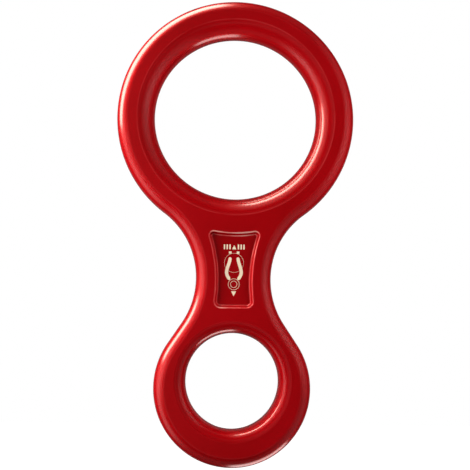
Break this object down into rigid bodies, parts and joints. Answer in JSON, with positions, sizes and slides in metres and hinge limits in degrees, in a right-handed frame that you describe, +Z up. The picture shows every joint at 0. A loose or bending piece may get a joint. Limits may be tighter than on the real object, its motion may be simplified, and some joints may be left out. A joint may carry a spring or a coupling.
{
  "type": "figure-eight rope descender",
  "caption": "Forged figure-eight descender: a large round rope eye above a small carabiner eye, with a waisted neck and a shallow marking panel on each face.",
  "frame": {"origin": "crown of the large eye: the point of its bore wall, half way through the thickness, straight above the eye's centre, where a hook or a rope bears when the descender hangs", "axes": "+Z up along the descender from the small eye to the large eye, +X across to the right as seen from the front, +Y through the thickness from the front face to the back face"},
  "size_m": [0.074, 0.012, 0.145],
  "materials": {
    "red_anodised_aluminium": "glossy red anodised over a polished forging"
  },
  "bodies": {
    "root": {"forged_body": "red_anodised_aluminium"}
  },
  "joints": []
}
